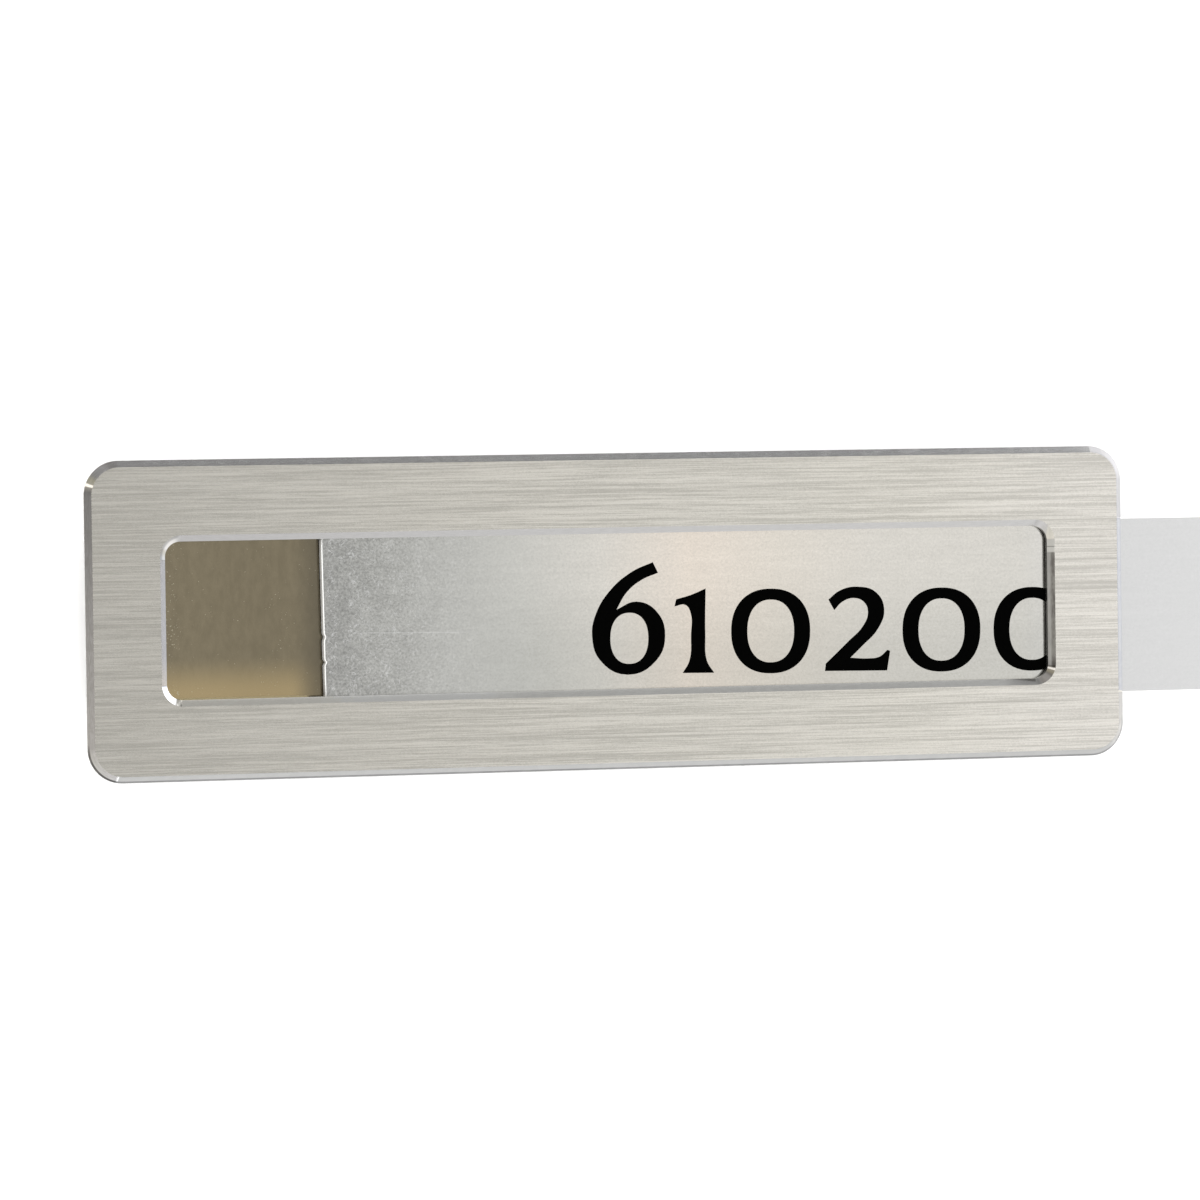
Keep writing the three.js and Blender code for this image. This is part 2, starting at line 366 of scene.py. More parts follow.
def window_tone(n, place, normal, marks):
    """The window chamfer's tone, with painted reflections and painted shade: darker corners, a lighter run
    along the foot and a darker far end.
    """
    x, y, z = n.split(place)
    normal_x, normal_y, _ = n.split(normal)
    tones = WINDOW_TONES
    tone = n.mix(marks, tones["plain"], tones["marked"])
    # Painted reflection: the window chamfer's lower far corner darker, lighter as it turns to the foot
    far_corner = n.both(n.ramp(normal_x, -0.16, -0.36), n.ramp(normal_y, 0.10, 0.20))
    far_tone = n.mix(n.ramp(normal_y, 0.38, 0.48), tones["far_corner_dark"], tones["far_corner_light"])
    tone = n.mix(far_corner, tone, far_tone)
    # Painted shade: the window chamfer's upper far corner darker and a little cooler
    top_corner = n.both(n.ramp(normal_x, -0.10, -0.30), n.ramp(normal_y, -0.10, -0.25))
    tone = n.times(top_corner, tone, tones["top_corner_times"])
    low_side = n.ramp(normal_y, 0.66, 0.70)
    # Painted shade: the window chamfer's foot darker near the far end, and darkest in its lower far corner
    low_end = n.both(n.ramp(x, 28.0, 30.4), low_side)
    tone = n.times(low_end, tone, tones["low_end_times"])
    low_corner = n.both(n.ramp(normal_x, 0.03, 0.095), n.ramp(normal_x, 0.16, 0.24, 1.0, 0.45),
                        n.ramp(normal_y, 0.655, 0.665))
    tone = n.mix(low_corner, tone, tones["low_corner"])
    # Painted highlight: the window chamfer's foot lighter and warmer towards the left
    low_run = n.both(low_side, n.ramp(x, -8, -30))
    tone = n.times(low_run, tone, tones["low_run_times"])
    # Painted highlight: a lighter stretch along the window chamfer's foot
    lit_run = n.both(low_side, 0.35, n.ramp(x, -22, -18), n.ramp(x, -11, -6, 1.0, 0.0))
    tone = n.times(lit_run, tone, tones["lit_run_times"])
    # Painted shade: the window chamfer darker at the top of its left side, and towards the face round its
    # upper left corner
    upper_left = n.both(n.ramp(normal_x, 0.0, 0.2), n.ramp(y, *UPPER_CORNERS_BEGIN))
    tone = n.mix(n.both(upper_left, n.ramp(normal_x, 0.60, 0.70)), tone, tones["upper_left"])
    depth = n.distance(z, FACE_Z / MM)
    shaded = n.both(upper_left, n.ramp(depth, 0.06, 0.28, 0.5, 0.0))
    tone = n.mix(shaded, tone, tones["upper_left_rim"])
    return inner_end_tone(n, place, tone)


def flatter_cut(n, place, normal, inner):
    """The window chamfer is cut a little flatter along its top and round its left corners."""
    normal_x, normal_y, _ = n.split(normal)
    _, y, _ = n.split(place)
    starts_at = n.ramp(normal_y, -0.1, 0.1, 0.06, 0.25)
    takes = n.ramp(normal_y, -0.1, 0.1, 0.08, 0.02)
    corner = n.ramp(n.math("SUBTRACT", normal_x, starts_at), 0.0, takes)
    near_corners = n.math("MAXIMUM", n.ramp(y, *UPPER_CORNERS_BEGIN), n.ramp(y, *LOWER_CORNERS_BEGIN))
    corner = n.both(corner, near_corners)
    top = n.both(n.ramp(normal_y, -0.30, -0.60), n.ramp(normal_x, 0.16, 0.08))
    raised = n.math("MAXIMUM", n.both(corner, CORNER_TILT), n.both(top, TOP_TILT))
    combine = n.add("ShaderNodeCombineXYZ")
    n.feed(combine.inputs["Z"], n.both(raised, inner))
    total = n.add("ShaderNodeVectorMath", operation="ADD")
    n.feed(total.inputs[0], normal)
    n.feed(total.inputs[1], combine.outputs[0])
    even = n.add("ShaderNodeVectorMath", operation="NORMALIZE")
    n.feed(even.inputs[0], total.outputs[0])
    return even.outputs[0]


def inner_end_tone(n, place, tone):
    """The window chamfer at the open end: painted shade, streaked, up to a lighter painted reflection near
    its top.
    """
    x, y, _ = n.split(place)
    tones = WINDOW_TONES
    wall = (FRAME_HIGH.x - FRAME_BORDER - WINDOW_CHAMFER) / MM
    here = n.ramp(x, wall - 0.08, wall - 0.03)
    streaks = n.noise(n.place(place, (7, 1.3, 1)), detail=2, roughness=0.6)
    marked = n.ramp(streaks, 0.35, 0.65)
    # Painted shade: the open end of the window chamfer dark and streaked, darker still at its foot, with
    # painted light along its lower edge
    shaded_end = n.mix(marked, tones["end_shade"], tones["end_shade_marked"])
    shaded_end = n.mix(n.ramp(y, -4.1, -4.4), shaded_end, tones["end_foot"])
    shaded_end = n.mix(n.ramp(x, wall + 0.12, wall + 0.26, 0.45, 0.0), shaded_end, tones["end_lit_edge"])
    # Painted reflection: a lighter stretch near the top, crossed by a dark line
    top_reflection = n.mix(marked, tones["end_reflection"], tones["end_reflection_marked"])
    top_reflection = n.mix(n.ramp(n.distance(y, END_LINE_PLACE), 0.02, 0.06, 0.55, 0.0), top_reflection, tones["end_line"])
    stretch = n.mix(n.ramp(y, 3.47, 3.59), shaded_end, top_reflection)
    above_corner = n.ramp(y, -4.75, -4.6)
    return n.mix(n.both(here, above_corner), tone, stretch)


def milled_wall():
    """The window's milled wall."""
    material, n, inputs = new_material("milled_wall", metallic=0.97)
    marks = n.noise(n.place(n.millimetres(), (0.6, 0.6, 14)), detail=2)
    n.feed(inputs["Base Color"], n.mix(marks, (0.78, 0.765, 0.73, 1), (0.92, 0.90, 0.86, 1)))
    n.feed(inputs["Roughness"], n.ramp(marks, 0.3, 0.7, 0.12, 0.2))
    return material


def edge_wall():
    """The frame's outer wall and back, plain satin aluminium."""
    material, n, inputs = new_material("edge_wall")
    marks = n.noise(n.place(n.millimetres(), (0.5, 0.5, 16)), detail=2)
    n.feed(inputs["Base Color"], n.mix(marks, (0.46, 0.45, 0.435, 1), (0.60, 0.59, 0.57, 1)))
    n.feed(inputs["Roughness"], n.ramp(marks, 0.3, 0.7, 0.28, 0.4))
    n.feed(inputs["Normal"], n.bump(marks, 0.2, 0.003 * MM))
    return material


def tone_along(n, value, low, high, stops):
    """A colour that changes along a line, from (place, red, green, blue) stops between low and high."""
    node = n.add("ShaderNodeValToRGB")
    elements = node.color_ramp.elements
    while len(elements) < len(stops):
        elements.new(0.5)
    for element, (place, red, green, blue) in zip(elements, stops):
        element.position = (place - low) / (high - low)
        element.color = (red, green, blue, 1)
    n.feed(node.inputs[0], n.ramp(value, low, high, smooth=False))
    return node.outputs[0]


STRIP_WORN_LENGTH = 13  # from 1 mm past the hidden end
STRIP_TONES_LENGTH = 62
STRIP_FOOT_TIMES = (0.855, 0.865, 0.865, 1)
SCUFF = (0.93, 0.93, 0.93, 1)
CURLS = [  # noise scale, its shift, and half the width of the level line that it draws
    (1.1, (0, 0, 0), 0.018),
    (1.9, (5, 2, 0), 0.030),
    (3.0, (1, 8, 0), 0.045),
]
SCRATCH_FROM, SCRATCH_TO = -18.6, -10.1
SCRATCH_SLOPE = 0.016
SCRATCH_CROSSES_MIDDLE_AT = -88


def satin_strip():
    """Satin aluminium: worn and grainy near its hidden end, with a painted reflection along it that is dark
    near its hidden end and warm in the middle, and darker and cooler at its foot.
    """
    material, n, inputs = new_material("satin_strip")
    place = n.millimetres()
    x, y, _ = n.split(place)
    hidden_end = STRIP_LOW.x / MM
    # Painted reflection: the strip's tone along its length
    tone = tone_along(n, x, hidden_end, hidden_end + STRIP_TONES_LENGTH, STRIP_PAINTED_TONES)
    foot = n.both(n.ramp(y, 3.2, -3.8), n.ramp(x, -13, -4), n.ramp(x, 36.5, 38, 1.0, 0.0))
    tone = n.times(foot, tone, STRIP_FOOT_TIMES)
    wear = n.ramp(x, hidden_end + 1, hidden_end + 1 + STRIP_WORN_LENGTH, 1.0, 0.0)
    grain = n.noise(place, scale=6.0, detail=4, roughness=0.75)
    brushed = n.noise(n.place(place, (0.25, 3.5, 1)), detail=2)
    cloud = n.noise(place, scale=0.7, detail=3, roughness=0.65)
    spread = n.math("ADD", n.both(wear, 0.66), 0.21)
    speckle = n.both(n.math("SUBTRACT", grain, 0.5), spread)
    speckle = n.math("ADD", speckle, n.both(n.math("SUBTRACT", brushed, 0.5), 0.05))
    mottle = n.both(n.math("SUBTRACT", cloud, 0.5), n.ramp(wear, 0, 1, 0.04, 0.25))
    speckle = n.both(n.math("ADD", speckle, mottle), n.ramp(x, 35, 37, 1.0, 0.35))
    tone = n.times(1.0, tone, n.math("ADD", 1.0, n.both(speckle, 2.0)))
    tone = n.mix(strip_scuffs(n, place, wear), tone, SCUFF)
    n.feed(inputs["Base Color"], tone)
    n.feed(inputs["Roughness"], n.math("ADD", n.both(wear, 0.05), 0.18))
    n.feed(inputs["Normal"], n.bump(grain, 0.12, 0.001 * MM))
    return material


def strip_scuffs(n, place, wear):
    """Where the strip is scuffed: short fine curls, mostly on the worn end, and one long scratch."""
    x, y, _ = n.split(place)
    total = 0.0
    for scale, shift, width in CURLS:
        swirl = n.noise(n.place(place, shift=shift), scale=scale, detail=0, distortion=1.2)
        curl = n.ramp(n.distance(swirl, 0.5), 0.0, width, 1.0, 0.0)
        breaks = n.noise(n.place(place, shift=(9, scale, 0)), scale=1.3, detail=1)
        total = n.math("MAXIMUM", total, n.both(curl, n.ramp(breaks, 0.52, 0.60)))
    scuff = n.both(total, n.math("ADD", n.both(wear, 0.44), 0.03))
    drop = n.both(n.math("SUBTRACT", x, SCRATCH_CROSSES_MIDDLE_AT), -SCRATCH_SLOPE)
    scratch = n.both(n.ramp(n.distance(y, drop), 0.015, 0.055, 0.22, 0.0),
                     n.ramp(x, SCRATCH_FROM, SCRATCH_FROM + 1),
                     n.ramp(x, SCRATCH_TO - 1.5, SCRATCH_TO, 1.0, 0.0))
    return n.math("ADD", scuff, scratch, clamp=True)


def cut_edge():
    """The strip's cut edge, bright bare metal."""
    material, n, inputs = new_material("cut_edge", metallic=0.45)
    marks = n.noise(n.place(n.millimetres(), (4, 9, 9)), detail=2)
    n.feed(inputs["Base Color"], n.mix(marks, (0.90, 0.90, 0.88, 1), (0.97, 0.97, 0.96, 1)))
    n.feed(inputs["Roughness"], n.ramp(marks, 0.3, 0.7, 0.42, 0.52))
    return material


PLATE_TONES = {
    "floor_dark": (0.250, 0.213, 0.143, 1),
    "floor_light": (0.290, 0.247, 0.167, 1),
    "golden_reflection": (0.485, 0.380, 0.210, 1),
    "strip_shadow": (0.10, 0.09, 0.07, 1),
    "dust": (0.85, 0.80, 0.62, 1),
    "unpolished": (0.36, 0.30, 0.17, 1),
    "outside_dark": (0.44, 0.43, 0.41, 1),
    "outside_light": (0.58, 0.57, 0.545, 1),
}
OUTSIDE_ROUGHNESS = 0.36
FLOOR_ROUGHNESS = 0.15


def mirror_plate():
    """The back plate: a warm mirror floor with a painted golden reflection along its foot, painted shade and
    a painted shadow towards the strip's end, dust, and satin sides.
    """
    material, n, inputs = new_material("mirror_plate")
    place = n.millimetres()
    x, y, _ = n.split(place)
    tones = PLATE_TONES
    normal_z = n.split(n.add("ShaderNodeTexCoord").outputs["Normal"])[2]
    upward = n.ramp(normal_z, 0.6, 0.8)
    window_left = (FRAME_LOW.x + FRAME_BORDER) / MM
    mottle = n.noise(n.place(place, (1.6, 0.7, 1)), detail=4, roughness=0.7)
    floor = n.mix(n.ramp(mottle, 0.3, 0.7), tones["floor_dark"], tones["floor_light"])
    # Painted reflection: a golden band along the floor's foot, fading towards the strip's end
    golden_reflection = n.both(n.ramp(y, -2.4, -5.2), n.ramp(x, window_left + 9.2, window_left + 11.4, 1.0, 0.3))
    floor = n.mix(golden_reflection, floor, tones["golden_reflection"])
    # Painted shade: the floor darkens a little towards the strip's end
    floor = n.mix(n.ramp(x, window_left + 2, window_left + 8, 0.0, 0.09), floor, (0, 0, 0, 1))
    floor = n.mix(n.ramp(x, window_left + 9.4, window_left + 11.6, 0.0, 0.52), floor, tones["strip_shadow"])
    near_edge = n.ramp(x, window_left + 1.3, window_left + 1.9, 1.0, 0.0)
    dust = n.noise(place, scale=7.0, detail=1, roughness=0.5)
    bare = n.ramp(n.noise(place, scale=0.45, detail=1), 0.48, 0.60, 0.05, 0.0)
    threshold = n.math("ADD", n.ramp(near_edge, 0, 1, 0.700, 0.625), bare)
    dust = n.ramp(n.math("SUBTRACT", dust, threshold), 0.0, 0.06)
    dust_tone = n.both(dust, n.ramp(near_edge, 0, 1, 0.30, 0.45))
    floor = n.mix(dust_tone, floor, tones["dust"])
    brush = n.noise(n.place(place, (0.25, 9, 9)), detail=3, roughness=0.6)
    outside = n.mix(n.ramp(brush, 0.3, 0.7), tones["outside_dark"], tones["outside_light"])
    unpolished = n.both(upward, n.ramp(y, -5.30, -5.40), n.ramp(x, -21.5, -22))
    floor = n.mix(unpolished, floor, tones["unpolished"])
    n.feed(inputs["Metallic"], n.math("SUBTRACT", 1.0, unpolished))
    n.feed(inputs["Base Color"], n.mix(upward, outside, floor))
    floor_roughness = n.math("ADD", n.both(dust, 0.2), FLOOR_ROUGHNESS)
    smoother = n.math("SUBTRACT", floor_roughness, OUTSIDE_ROUGHNESS)
    n.feed(inputs["Roughness"], n.math("ADD", n.both(upward, smoother), OUTSIDE_ROUGHNESS))
    return material


def nickel_bar():
    """The magnet bar's satin nickel plating."""
    material, n, inputs = new_material("nickel_bar")
    place = n.millimetres()
    grain = n.noise(n.place(place, (0.3, 7, 7)), detail=3, roughness=0.6)
    cloud = n.noise(place, scale=0.3, detail=2)
    tone = n.mix(n.ramp(grain, 0.3, 0.7), (0.50, 0.49, 0.47, 1), (0.64, 0.63, 0.61, 1))
    n.feed(inputs["Base Color"], n.mix(n.ramp(cloud, 0.3, 0.7, 0.0, 0.25), tone, (0.72, 0.70, 0.66, 1)))
    n.feed(inputs["Roughness"], n.ramp(cloud, 0.3, 0.7, 0.22, 0.34))
    n.feed(inputs["Normal"], n.bump(grain, 0.25, 0.003 * MM))
    return material


def black_print():
    """Matt black ink."""
    material, n, inputs = new_material("black_print", metallic=0.0)
    grain = n.noise(n.millimetres(), scale=6.0, detail=2)
    n.feed(inputs["Base Color"], n.mix(grain, (0.0003, 0.0003, 0.0003, 1), (0.0010, 0.0010, 0.0009, 1)))
    n.feed(inputs["Roughness"], n.ramp(grain, 0.3, 0.7, 0.45, 0.6))
    inputs["Specular IOR Level"].default_value = 0.004
    return material


def pale_floor():
    """The studio floor, matt and nearly white."""
    material, n, inputs = new_material("pale_floor", metallic=0.0)
    cloud = n.noise(n.millimetres(), scale=0.01, detail=1)
    n.feed(inputs["Base Color"], n.mix(cloud, (0.94, 0.94, 0.94, 1), (0.97, 0.97, 0.97, 1)))
    inputs["Roughness"].default_value = 0.9
    inputs["Specular IOR Level"].default_value = 0.1
    return material


# Mesh helpers

def rounded_outline(length, height, radius):
    """Counter-clockwise points of a rectangle with round corners, always as many and in one order."""
    centres = [
        (length / 2 - radius, height / 2 - radius),
        (radius - length / 2, height / 2 - radius),
        (radius - length / 2, radius - height / 2),
        (length / 2 - radius, radius - height / 2),
    ]
    points = []
    for quarter, (x, y) in enumerate(centres):
        for step in range(CORNER_STEPS + 1):
            angle = (quarter + step / CORNER_STEPS) * math.pi / 2
            points.append((x + radius * math.cos(angle), y + radius * math.sin(angle)))
    return points


def add_ring(mesh, points, z):
    """The vertices of one closed outline at a height."""
    return [mesh.verts.new((x, y, z)) for x, y in points]


def join_rings(mesh, lower, upper, material_index):
    """A band of faces between two rings of as many vertices."""
    for i, vertex in enumerate(lower):
        j = (i + 1) % len(lower)
        face = mesh.faces.new((vertex, lower[j], upper[j], upper[i]))
        face.material_index = material_index


def finish_piece(name, mesh, materials, body, replaced=()):
    """Makes the object, gives it its materials and hangs it on its body."""
    data = bpy.data.meshes.new(name)
    mesh.normal_update()
    for face in mesh.faces:
        face.smooth = True
    for edge in mesh.edges:
        sides = {face.material_index for face in edge.link_faces}
        edge.smooth = len(sides) == 1 and edge.calc_face_angle(0) < SHARP_ANGLE
    mesh.to_mesh(data)
    mesh.free()
    for material in materials:
        data.materials.append(material)
    piece = bpy.data.objects.new(name, data)
    bpy.context.scene.collection.objects.link(piece)
    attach(piece, body)
    if replaced:
        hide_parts(*replaced)
    return piece


# Pieces

def build_frame():
    """The front plate: the solid's own profile run round the border, with smoother round corners."""
    length, height = FRAME_HIGH.x - FRAME_LOW.x, FRAME_HIGH.y - FRAME_LOW.y
    outlines = {
        "outside": (length, height, OUTER_RADIUS),
        "window": (length - 2 * FRAME_BORDER, height - 2 * FRAME_BORDER, WINDOW_RADIUS),
    }
    face, chamfer, wall, edge = range(4)
    back = FRAME_LOW.z
    profile = [  # outline, inset, height, material of the band that follows
        ("outside", BACK_BEVEL, back, edge),
        ("outside", 0, back + BACK_BEVEL, edge),
        ("outside", 0, FACE_Z - OUTER_CHAMFER, chamfer),
        ("outside", OUTER_CHAMFER, FACE_Z, face),
        ("window", 0, FACE_Z, chamfer),
        ("window", WINDOW_CHAMFER, FACE_Z - WINDOW_CHAMFER, wall),
        ("window", WINDOW_CHAMFER, back, edge),
    ]
    mesh = bmesh.new()
    rings = []
    for outline, inset, z, _ in profile:
        long_side, short_side, radius = outlines[outline]
        points = rounded_outline(long_side - 2 * inset, short_side - 2 * inset, radius - inset)
        rings.append(add_ring(mesh, points, z))
    for i, ring in enumerate(rings):
        join_rings(mesh, ring, rings[(i + 1) % len(rings)], profile[i][3])
    materials = [brushed_face(), polished_chamfer(), milled_wall(), edge_wall()]
    finish_piece("frame_detailed", mesh, materials, "badge", ("front_frame",))


def strip_outline(inset):
    """The strip's outline, counter-clockwise from its lower right corner, its cut end in small steps."""
    low, high = STRIP_LOW.y + inset, STRIP_HIGH.y - inset
    right = STRIP_HIGH.x - inset
    slant = math.tan(STRIP_END_SLANT)
    radius = STRIP_RADIUS - inset

    def end_x(y):
        nick = sum(
            depth * MM * math.exp(-(((y / MM - place) / width) ** 2)) for place, width, depth in NICKS
        )
        return STRIP_LOW.x + inset + (high - y) * slant + nick

    points = []
    for centre_y, start in ((low + radius, -math.pi / 2), (high - radius, 0)):
        for step in range(CORNER_STEPS + 1):
            angle = start + step / CORNER_STEPS * math.pi / 2
            points.append((right - radius + radius * math.cos(angle), centre_y + radius * math.sin(angle)))
    for step in range(CORNER_STEPS + 1):
        angle = (1 + step / CORNER_STEPS) * math.pi / 2
        y = high - radius + radius * math.sin(angle)
        points.append((end_x(y) + radius * (1 + math.cos(angle)), y))
    for step in range(1, STRIP_END_STEPS):
        y = high - radius - (high - low - 2 * radius) * step / STRIP_END_STEPS
        points.append((end_x(y), y))
    for step in range(CORNER_STEPS + 1):
        angle = (2 + step / CORNER_STEPS) * math.pi / 2
        y = low + radius + radius * math.sin(angle)
        points.append((end_x(y) + radius * (1 + math.cos(angle)), y))
    return points


def build_strip():
    """The strip: a thin plate with a rolled upper edge."""
    face, edge = range(2)
    low, high = STRIP_LOW.z, STRIP_HIGH.z
    mesh = bmesh.new()
    profile = [(EDGE_ROUND, low), (0, low + EDGE_ROUND)]
    for step in range(STRIP_ROLLED_STEPS + 1):
        angle = step / STRIP_ROLLED_STEPS * math.pi / 2
        inset = STRIP_ROLLED_WIDTH * (1 - math.cos(angle))
        profile.append((inset, high - STRIP_ROLLED_DEPTH * (1 - math.sin(angle))))
    rings = [add_ring(mesh, strip_outline(inset), z) for inset, z in profile]
    for lower, upper in zip(rings, rings[1:]):
        join_rings(mesh, lower, upper, edge)
    for ring in (list(reversed(rings[0])), rings[-1]):
        mesh.faces.new(ring).material_index = face
    materials = [satin_strip(), cut_edge()]
    finish_piece("strip_detailed", mesh, materials, "strip", ("name_strip",))


# Printed numbers: outlines in millimetres, from the middle of the figure on its base line. A point is
# x, y and whether the line turns sharply there.

def oval(x, y, half_width, half_height, power=2.25, count=48):
    """The points of a slightly squared oval."""
    points = []
    for i in range(count):
        angle = 2 * math.pi * i / count
        c, s = math.cos(angle), math.sin(angle)
        points.append((
            x + half_width * math.copysign(abs(c) ** (2 / power), c),
            y + half_height * math.copysign(abs(s) ** (2 / power), s),
            False,
        ))
    return points


ZERO = [oval(0, 2.85, 2.90, 2.97), oval(0, 2.85, 1.72, 2.20)]
ONE = [[
    (-1.15, -0.04, True), (-0.66, 0.80, False), (-0.54, 2.60, False), (-0.58, 4.20, False),
    (-0.95, 4.72, False), (-1.75, 4.62, True), (-1.62, 5.12, True), (-0.55, 5.42, False), (0.52, 5.86, True),
    (0.50, 2.60, False), (0.62, 0.80, False), (1.15, -0.04, True),
]]
TWO = [[
    (-2.30, 0.00, True), (-2.24, 0.52, True), (-0.60, 2.05, False), (0.55, 3.20, False),
    (0.88, 4.10, False), (0.62, 4.80, False), (-0.12, 5.12, False), (-1.00, 4.88, False),
    (-1.62, 4.28, True), (-2.05, 5.02, True), (-1.20, 5.66, False), (0.12, 5.92, False),
    (1.50, 5.50, False), (2.08, 4.30, False), (1.62, 2.95, False), (0.40, 1.70, False),
    (-0.42, 0.92, True), (0.95, 0.86, False), (1.75, 0.98, False), (2.32, 1.45, True),
    (2.52, 1.38, True), (2.30, 0.00, True),
]]
SIX = [
    [
        (1.72, 7.72, True), (0.20, 7.06, False), (-1.42, 5.72, False), (-2.42, 4.10, False),
        (-2.68, 2.60, False), (-2.10, 0.90, False), (-0.10, -0.12, False), (1.98, 0.86, False),
        (2.62, 2.62, False), (2.02, 4.26, False), (0.55, 4.98, False), (-0.92, 4.42, True),
        (-0.20, 5.60, False), (0.85, 6.46, False), (2.10, 6.98, True),
    ],
    oval(0.02, 2.42, 1.38, 1.78),
]
FIGURES = [  # outlines, its width, and the gap that follows
    (SIX, 5.30, 0.95),
    (ONE, 2.90, 0.95),
    (ZERO, 5.80, 1.00),
    (TWO, 4.80, 1.05),
    (ZERO, 5.80, 1.00),
    (ZERO, 5.80, 0.00),
]


def add_spline(curve, points):
    """One closed outline, smooth except where a point is marked as a sharp turn."""
    spline = curve.splines.new("BEZIER")
    spline.bezier_points.add(len(points) - 1)
    spline.use_cyclic_u = True
    for target, (x, y, sharp) in zip(spline.bezier_points, points):
        target.co = (x * MM, y * MM, 0)
        target.handle_left_type = target.handle_right_type = "FREE" if sharp else "AUTO"
    for i, (x, y, sharp) in enumerate(points):
        if sharp:
            before, after = points[i - 1], points[(i + 1) % len(points)]
            target = spline.bezier_points[i]
            target.handle_left = Vector((x + (before[0] - x) / 3, y + (before[1] - y) / 3, 0)) * MM
            target.handle_right = Vector((x + (after[0] - x) / 3, y + (after[1] - y) / 3, 0)) * MM


def figure_mesh(name, outlines):
    """A figure filled and given the thickness of the ink."""
    curve = bpy.data.curves.new(name, "CURVE")
    curve.dimensions = "2D"
    curve.fill_mode = "BOTH"
    curve.resolution_u = 5
    curve.extrude = PRINT_HEIGHT / 2
    for points in outlines:
        add_spline(curve, points)
    holder = bpy.data.objects.new(name, curve)
    bpy.context.scene.collection.objects.link(holder)
    bpy.context.view_layer.update()
    made = bpy.data.meshes.new_from_object(holder.evaluated_get(bpy.context.evaluated_depsgraph_get()))
    bpy.data.objects.remove(holder)
    bpy.data.curves.remove(curve)
    return made


def build_print():
    """The row of printed figures on the strip, tilted a little as the photo shows it."""
    ink = black_print()
    turn = Matrix.Rotation(PRINT_TILT, 4, "Z")
    origin = Vector((STRIP_LOW.x + PRINT_START * MM, PRINT_BASELINE * MM, 0))
    height = STRIP_HIGH.z + PRINT_LIFT + PRINT_HEIGHT / 2
    along = 0
    for number, (outlines, width, gap) in enumerate(FIGURES, 1):
        middle = Vector(((along + width / 2) * MM, 0, 0))
        place = Matrix.Translation(origin + Vector((0, 0, height))) @ turn @ Matrix.Translation(middle)
        mesh = bmesh.new()
        mesh.from_mesh(figure_mesh(f"outline_{number}", outlines))
        mesh.transform(place)
        bmesh.ops.remove_doubles(mesh, verts=mesh.verts, dist=0.0005 * MM)
        finish_piece(f"printed_figure_{number}", mesh, [ink], "strip")
        along += width + gap


def dress_solids():
    """Materials for the solids that show as they are."""
    for node, material in (("back_plate", mirror_plate()), ("magnet_bar", nickel_bar())):
        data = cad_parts[node].data
        data.materials.clear()
        data.materials.append(material)


# Stage, light and camera

FLOOR_RADIUS = 0.6
LAMP_PLACES = (("front_lamp", (-0.2, -1.1, 1.1)), ("back_lamp", (-0.2, 1.1, 1.1)))
LAMP_SIZE = 1.0
LAMP_WATTS = 18
HORIZON = [  # compass direction from +X towards +Y in degrees, red, green, blue
    (-180, 0.270, 0.260, 0.245),
    (-176, 0.560, 0.530, 0.490),
    (-165, 0.680, 0.650, 0.600),
    (-142, 0.710, 0.690, 0.635),
    (-108, 0.740, 0.715, 0.690),
    (-94, 0.790, 0.770, 0.755),
    (-84, 0.610, 0.600, 0.595),
    (-78, 0.530, 0.520, 0.525),
    (-75, 0.590, 0.585, 0.590),
    (-72, 0.650, 0.645, 0.645),
    (-70, 0.640, 0.635, 0.640),
    (-60, 0.850, 0.840, 0.830),
    (-45, 0.960, 0.940, 0.920),
    (-18, 0.930, 0.920, 0.930),
    (0, 1.190, 1.270, 1.530),
    (45, 1.150, 1.150, 1.180),
    (53, 1.100, 1.100, 1.120),
    (57, 0.720, 0.720, 0.730),
    (68, 0.720, 0.720, 0.720),
    (71, 0.385, 0.385, 0.380),
    (75, 0.385, 0.385, 0.375),
    (80, 0.335, 0.330, 0.325),
    (94, 0.270, 0.260, 0.250),
    (110, 0.380, 0.370, 0.360),
    (123, 0.350, 0.345, 0.340),
    (134, 0.310, 0.300, 0.285),
    (145, 0.440, 0.415, 0.320),
    (158, 0.480, 0.450, 0.390),
    (172, 0.245, 0.235, 0.220),
    (180, 0.270, 0.260, 0.245),
]
UPPER_WALLS_TIMES = (1.35, 1.35, 1.35, 1)
UPPER = (1.3, 1.3, 1.3, 1)
OVERHEAD_DARK = (0.06, 0.06, 0.058, 1)
OVERHEAD_LIGHT = (2.0, 2.0, 2.0, 1)
SPOTS = [  # compass direction, height, inner and outer radius in degrees, colour
    (157, 10.8, 1.5, 4, (1.6, 1.5, 1.3, 1)),
    (160, 19.7, 3, 5, (1.7, 1.66, 1.56, 1)),
    (-179, 20.5, 5, 8, (0.60, 0.59, 0.57, 1)),
    (28, 7, 23, 26, (1.8, 1.8, 1.85, 1)),
]


def build_floor():
    """A round floor under the badge."""
    mesh = bmesh.new()
    bmesh.ops.create_circle(mesh, cap_ends=True, radius=FLOOR_RADIUS, segments=96)
    data = bpy.data.meshes.new("floor")
    mesh.to_mesh(data)
    mesh.free()
    data.materials.append(pale_floor())
    floor = bpy.data.objects.new("floor", data)
    bpy.context.scene.collection.objects.link(floor)


def direction(azimuth, elevation):
    """A unit vector, with azimuth from +X towards +Y, both in degrees."""
    a, e = math.radians(azimuth), math.radians(elevation)
    return Vector((math.cos(a) * math.cos(e), math.sin(a) * math.cos(e), math.sin(e)))


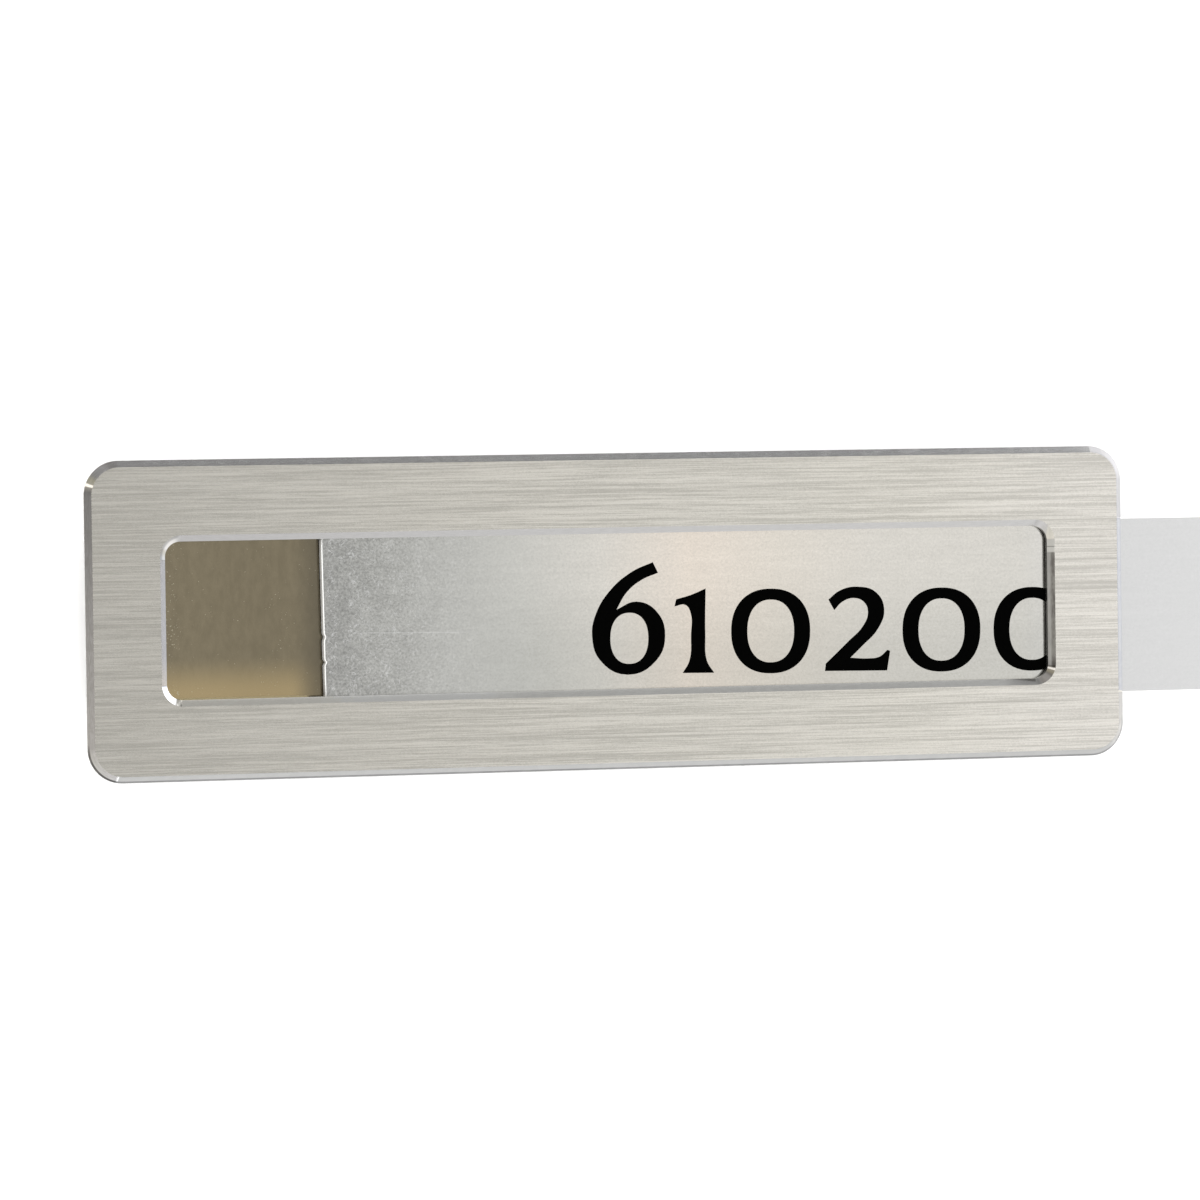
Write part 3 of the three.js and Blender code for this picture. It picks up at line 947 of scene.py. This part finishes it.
def soft_spot(n, ray, towards, inner, outer):
    """How far a direction lies inside a round soft light: 1 inside, 0 outside, angles in degrees."""
    node = n.add("ShaderNodeVectorMath", operation="DOT_PRODUCT")
    n.feed(node.inputs[0], ray)
    node.inputs[1].default_value = towards
    return n.ramp(node.outputs["Value"], math.cos(math.radians(outer)), math.cos(math.radians(inner)))


def build_world():
    """A soft studio room: walls that change round the compass, a bright upper band, and an overhead
    sheet that is dark on the left and light on the right."""
    world = bpy.data.worlds.new("studio")
    world.use_nodes = True
    n = Nodes(world.node_tree)
    ray = n.add("ShaderNodeTexCoord").outputs["Generated"]
    x, y, z = n.split(ray)
    compass = n.both(n.math("ARCTAN2", y, x), 180 / math.pi)
    colour = tone_along(n, compass, -180, 180, HORIZON)
    colour = n.mix(n.ramp(z, -0.03, 0.06, 0.75, 1.12), (0, 0, 0, 1), colour)
    colour = n.times(n.ramp(z, 0.30, 0.36), colour, UPPER_WALLS_TIMES)
    colour = n.mix(n.ramp(z, 0.42, 0.66), colour, UPPER)
    across = n.math("DIVIDE", x, n.math("MAXIMUM", z, 0.05))
    overhead = n.mix(n.ramp(across, -0.15, 0.75), OVERHEAD_DARK, OVERHEAD_LIGHT)
    colour = n.mix(n.ramp(z, 0.78, 0.90), colour, overhead)
    for compass_place, height, inner, outer, light in SPOTS:
        spot = soft_spot(n, ray, direction(compass_place, height), inner, outer)
        colour = n.mix(spot, colour, light)
    n.feed(world.node_tree.nodes["Background"].inputs["Color"], colour)
    bpy.context.scene.world = world


def build_lamps():
    """Two wide soft lamps, one before and one behind the badge."""
    for name, place in LAMP_PLACES:
        data = bpy.data.lights.new(name, "AREA")
        data.shape = "DISK"
        data.size = LAMP_SIZE
        data.energy = LAMP_WATTS
        lamp = bpy.data.objects.new(name, data)
        lamp.location = place
        lamp.visible_glossy = False
        lamp.rotation_mode = "QUATERNION"
        lamp.rotation_quaternion = (-Vector(place)).to_track_quat("-Z", "Y")
        bpy.context.scene.collection.objects.link(lamp)


def build_camera():
    """The camera that was fitted to the photo."""
    data = bpy.data.cameras.new("camera")
    data.sensor_width = SENSOR_WIDTH_MM
    data.lens = CAMERA_FOCAL_IN_IMAGE_WIDTHS * SENSOR_WIDTH_MM
    data.clip_start, data.clip_end = 0.01, 20
    camera = bpy.data.objects.new("camera", data)
    turn = Matrix.Rotation(CAMERA_ROLL, 3, "Z") @ Matrix.Rotation(CAMERA_PITCH, 3, "X")
    turn = (turn @ Matrix.Rotation(CAMERA_YAW, 3, "Y")).transposed()
    camera.matrix_world = Matrix.Translation(CAMERA_PLACE + Vector((0, 0, FACE_Z))) @ turn.to_4x4()
    bpy.context.scene.collection.objects.link(camera)
    bpy.context.scene.camera = camera
    bpy.context.scene.view_settings.view_transform = "Standard"


build_camera()
build_floor()
build_world()
build_lamps()
build_frame()
build_strip()
build_print()
dress_solids()
